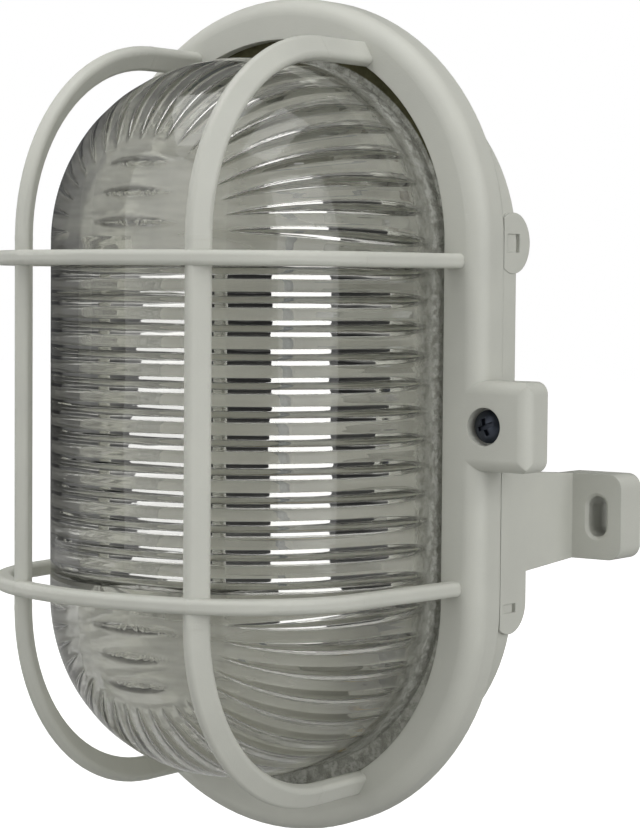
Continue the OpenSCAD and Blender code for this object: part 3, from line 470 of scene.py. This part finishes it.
def pressed_glass():
    """Pressed glass: hazy between its grooves, crazed at its foot with a painted highlight there, and
    painted shade on its flange.
    """
    s = Shader("clear_glass")
    streaks = s.noise(*GLASS_STREAKS)
    crazing = s.noise(*GLASS_CRAZING)
    foot = s.depth_share(CRAZED_HIGHLIGHT_TO, CRAZED_HIGHLIGHT_TO - CRAZED_HIGHLIGHT_FADE)
    hazy = hazy_glass(s, glass_body(s, streaks, crazing, foot), streaks)
    # Painted highlight: a pale, crazed band mixed over the glass at its foot
    crazed_highlight = s.diffuse(s.tones(crazing, CRAZED_HIGHLIGHT_TONES, CRAZED_HIGHLIGHT_RANGE))
    highlighted = s.mix(s.math("MULTIPLY", foot, CRAZED_HIGHLIGHT_SHARE), hazy, crazed_highlight)
    return s.covered(flange_shaded_glass(s, highlighted, crazing))


def make_materials():
    made = {"grey_plastic": base_plastic(*BASE_MOULDING), "clear_glass": pressed_glass()}
    for name, recipe in MOULDINGS.items():
        made[name] = mottled(name, *recipe)
    for name, recipe in METALS.items():
        made[name] = brushed(name, *recipe)
    return made


def dress_nodes(nodes, materials):
    for name, node in nodes.items():
        for slot in node.material_slots:
            slot.link = "OBJECT"
            slot.material = materials[MATERIAL_OF_NODE[name]]


def dome_section(radius, rise, turn_up):
    """Radius and height of a dome of this size at an angle up it."""
    power = 2.0 / DOME_POWER
    return radius * np.cos(turn_up) ** power, rise * np.sin(turn_up) ** power


def region_columns(count):
    """Columns over a row of grooves: groove number, place in the groove, place on the land, depth share."""
    columns = [(0, np.nan, np.nan, 0.0)]
    for k in range(count):
        columns += [(k, across, np.nan, share) for across, share in GROOVE_SECTION]
        if k < count - 1:
            columns += [(k, np.nan, step, 0.0) for step in LAND_STEPS]
    return np.array(columns).T


def column_places(columns, count, half_share):
    """Places (0 to 1) of columns along their row, for grooves this share of the spacing to each side."""
    number, across, land, _ = columns
    groove = number + 0.5 + across * half_share
    between = number + 0.5 + half_share + land * (1 - 2 * half_share)
    places = np.where(np.isnan(across), between, groove) / count
    return np.where(np.isnan(across) & np.isnan(land), 0.0, places)


def runout(degrees, start, length):
    """Rounded run-out of a groove's width from its end, 0 to 1."""
    share = np.clip((degrees - start) / length, 0.0, 1.0)
    return np.sqrt(1 - (1 - share) ** 2)


def clear_of_groove(depth_share):
    """1 on the land beside a groove, 0 on its flanks."""
    return np.clip(1 - depth_share / FLANK_START, 0.0, 1.0)


class GlassForm:
    """Form of the glass cover, with its sizes read from the solid it replaces, in millimetres."""

    def __init__(self):
        low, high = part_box("glass_cover")
        self.flange_r = high[0] / MM
        self.end_offset = (high[2] - high[0]) / MM
        self.front = -low[1] / MM
        self.flange_low = -high[1] / MM
        self.dome_r = self.flange_r - FLANGE_LAP - DOME_GAP
        self.dome_offset = self.end_offset - DOME_SETBACK
        self.ring_under = self.flange_low + FLANGE_T
        self.side = region_columns(SIDE_GROOVES)
        self.end = region_columns(END_GROOVES)
        self.side_share = self.side[-1]
        self.end_share = self.end[-1]

    def ring(self, side_places, end_places, radius, offset, height):
        """Points of one row round the oval; radius and height may vary from side to end."""
        flat = (2 * side_places - 1) * self.dome_offset
        flat[0] = -offset
        turn = math.pi * end_places
        side_r, end_r = radius
        side_height, end_height = height
        right = (side_r + 0 * flat, -side_height + 0 * flat, flat)
        top = (end_r * np.cos(turn), -end_height + 0 * turn, offset + end_r * np.sin(turn))
        half = [np.stack(p, 1) for p in (right, top)]
        turned = np.array((-1.0, 1.0, -1.0))
        return np.concatenate(half + [p * turned for p in half])

    def plain(self, radius, offset, height):
        """One row of the same radius and height all round."""
        side_places = column_places(self.side, SIDE_GROOVES, PLAIN_HALF)
        end_places = column_places(self.end, END_GROOVES, PLAIN_HALF)
        return self.ring(side_places, end_places, (radius, radius), offset, (height, height))

    def end_place(self, up):
        """Place of the end centres at this angle up the dome."""
        return self.dome_offset + DOME_SWELL * math.sin(up)

    def outer(self, degrees):
        """One row of the outside at this angle up the dome."""
        up = math.radians(degrees)
        radius, rise = dome_section(self.dome_r, self.front - self.ring_under, up)
        return self.plain(radius, self.end_place(up), self.ring_under + rise)

    def groove_places(self, foot, head):
        """Places of the columns along a side and round an end, for the grooves' run-out at foot and head."""
        side_half = GROOVE_HALF * foot * SIDE_GROOVES / (2 * self.dome_offset)
        fan_half = FAN_SHARE / 2 * foot * head
        side_places = column_places(self.side, SIDE_GROOVES, max(side_half, LEAST_HALF))
        return side_places, column_places(self.end, END_GROOVES, max(fan_half, LEAST_HALF))

    def lens_depth(self, x, z):
        """Depth of the short grooves at the front of each end."""
        depth = 0 * x
        pitch = 2 * self.dome_offset / SIDE_GROOVES
        for k, length in enumerate(LENS_LENGTHS):
            half = LENS_HALF * np.clip(1 - (2 * x / length) ** 2, LEAST_LENS, 1.0)
            across = np.clip(np.abs(z - (k + 0.5) * pitch) / half, 0.0, 1.0)
            depth = np.maximum(depth, LENS_DEPTH * half / LENS_HALF * (1 - across))
        return depth

    def haze(self, foot, head, lens):
        """Haze along one row of the inside: on lands and plain fronts, and none in the grooves."""
        side_haze = LAND_HAZE * clear_of_groove(foot * self.side_share)
        plain_haze = LAND_HAZE * head + END_HAZE * (1 - head)
        end_haze = plain_haze * clear_of_groove(foot * head * self.end_share) * (1 - lens / LENS_DEPTH)
        return np.concatenate((side_haze, end_haze) * 2)

    def inner(self, degrees):
        """One row of the inside at this angle up the dome: points, and haze at each."""
        up = math.radians(degrees)
        rise = self.front - self.flange_low
        foot = runout(degrees, GROOVE_FOOT, GROOVE_RUNOUT)
        head = runout(-degrees, -FAN_END, FAN_RUNOUT)
        side_places, end_places = self.groove_places(foot, head)
        foot_r = self.dome_r - GLASS_WALL
        land_r, _ = dome_section(foot_r, rise - GLASS_WALL, up)
        turn = math.pi * end_places
        lens = self.lens_depth(land_r * np.cos(turn), land_r * np.sin(turn))
        side_depth = GROOVE_DEPTH * foot * self.side_share
        fan_depth = GROOVE_DEPTH * foot * head * land_r / foot_r * self.end_share
        walls = (GLASS_WALL - side_depth, GLASS_WALL - np.maximum(fan_depth, lens))
        radius, height = zip(*[dome_section(self.dome_r - wall, rise - wall, up) for wall in walls])
        heights = [self.flange_low + h for h in height]
        points = self.ring(side_places, end_places, radius, self.end_place(up), heights)
        return points, self.haze(foot, head, lens)

    def rows(self):
        """Rows from the outer crest over the flange to the inner crest: points, and haze at each."""
        smooth = [self.outer(a) for a in np.linspace(CREST, 0.0, OUTER_ROWS)]
        smooth.append(self.plain(self.flange_r, self.end_offset, self.ring_under))
        smooth.append(self.plain(self.flange_r, self.end_offset, self.flange_low))
        rows = [(points, np.zeros(len(points))) for points in smooth]
        rows += [self.inner(a) for a in np.linspace(0.0, PATCH_START, FLANK_ROWS)]
        rows += [self.inner(a) for a in np.linspace(PATCH_START, CREST, PATCH_ROWS)[1:]]
        return rows


def row_faces(row_count, count):
    """Faces between each row of this many points and the next, round the whole oval."""
    faces = []
    for r in range(row_count - 1):
        for c in range(count):
            n = (c + 1) % count
            faces.append((r * count + c, (r + 1) * count + c, (r + 1) * count + n, r * count + n))
    return faces


def clean(mesh):
    """Weld points that coincide, drop faces without area and turn the rest outwards."""
    work = bmesh.new()
    work.from_mesh(mesh)
    bmesh.ops.remove_doubles(work, verts=work.verts, dist=WELD_DISTANCE)
    bmesh.ops.dissolve_degenerate(work, edges=work.edges, dist=WELD_DISTANCE)
    bmesh.ops.recalc_face_normals(work, faces=work.faces)
    work.to_mesh(mesh)
    work.free()


def add_glass(material):
    rows = GlassForm().rows()
    points = np.concatenate([row for row, _ in rows]) * MM
    mesh = bpy.data.meshes.new("grooved_glass")
    mesh.from_pydata(points.tolist(), [], row_faces(len(rows), len(rows[0][0])))
    haze = mesh.attributes.new(HAZE_NAME, "FLOAT", "POINT")
    haze.data.foreach_set("value", np.concatenate([share for _, share in rows]))
    clean(mesh)
    mesh.shade_smooth()
    mesh.set_sharp_from_angle(angle=math.radians(SHARP_ANGLE))
    mesh.materials.append(material)
    glass = bpy.data.objects.new("grooved_glass", mesh)
    bpy.context.scene.collection.objects.link(glass)
    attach(glass, "root")
    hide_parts("glass_cover")


def add_world():
    """White where the camera looks past the object; otherwise a dark room, paler above and at the left."""
    world = bpy.data.worlds.new("studio")
    bpy.context.scene.world = world
    world.use_nodes = True
    n = Nodes(world.node_tree)
    parts = n.split(n.node("ShaderNodeTexCoord").outputs["Generated"])
    overhead = n.map_range(parts["Z"], *ROOM_RISE)
    left = n.map_range(parts["X"], *ROOM_LEFT)
    room = n.node("ShaderNodeBackground")
    room.inputs["Color"].default_value = ROOM_COLOUR
    n.join(n.math("ADD", overhead, left), room.inputs["Strength"])
    white = n.node("ShaderNodeBackground")
    white.inputs["Color"].default_value = WHITE
    seen = n.light_path("Is Camera Ray")
    both = n.mix(seen, room.outputs["Background"], white.outputs["Background"])
    n.join(both, n.node("ShaderNodeOutputWorld").inputs["Surface"])


def floor_material():
    """Floor that the camera sees as white away from the object, and that keeps its soft shadow."""
    s = Shader("pale_floor")
    shown = s.map_range(s.length(s.coords), *FLOOR_GLOW)
    seen = s.math("MULTIPLY", shown, s.light_path("Is Camera Ray"))
    glow = s.node("ShaderNodeEmission")
    s.join(s.math("MAXIMUM", seen, FLOOR_LEVEL), glow.inputs["Strength"])
    both = s.node("ShaderNodeAddShader")
    s.join(s.diffuse(s.tones(s.noise(*FLOOR_MOTTLE), FLOOR_TONES)), both.inputs[0])
    s.join(glow.outputs["Emission"], both.inputs[1])
    return s.covered(both.outputs["Shader"])


def add_floor(level):
    half = FLOOR_SIZE / 2
    corners = [(-half, -half, level), (half, -half, level), (half, half, level), (-half, half, level)]
    mesh = bpy.data.meshes.new("floor")
    mesh.from_pydata(corners, [], [(0, 1, 2, 3)])
    mesh.materials.append(floor_material())
    sheet = bpy.data.objects.new("floor", mesh)
    bpy.context.scene.collection.objects.link(sheet)


def add_softbox(name, turn, rise, distance, width, height, power, shown):
    data = bpy.data.lights.new(name, "AREA")
    data.shape = "RECTANGLE"
    data.size = width
    data.size_y = height
    data.energy = power
    t, r = math.radians(turn), math.radians(rise)
    way = Vector((math.sin(t) * math.cos(r), -math.cos(t) * math.cos(r), math.sin(r)))
    lamp = bpy.data.objects.new(name, data)
    lamp.location = Vector(LIGHT_TARGET) + way * distance
    lamp.rotation_euler = way.to_track_quat("Z", "Y").to_euler()
    lamp.visible_glossy = shown
    lamp.visible_transmission = shown
    bpy.context.scene.collection.objects.link(lamp)


def add_studio(level):
    add_world()
    add_floor(level)
    for name, values in SOFTBOXES.items():
        add_softbox(name, *values)


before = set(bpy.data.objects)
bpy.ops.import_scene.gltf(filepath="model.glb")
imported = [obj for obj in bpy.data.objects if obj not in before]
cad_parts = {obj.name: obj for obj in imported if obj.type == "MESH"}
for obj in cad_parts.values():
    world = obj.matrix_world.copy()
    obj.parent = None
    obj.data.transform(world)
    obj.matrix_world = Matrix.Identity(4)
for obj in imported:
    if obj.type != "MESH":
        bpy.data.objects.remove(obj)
cad_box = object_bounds()
add_camera()
materials = make_materials()
dress_nodes(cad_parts, materials)
add_glass(materials["clear_glass"])
add_studio(cad_box[0][2] - FLOOR_DROP)
bpy.context.scene.view_settings.view_transform = "Standard"
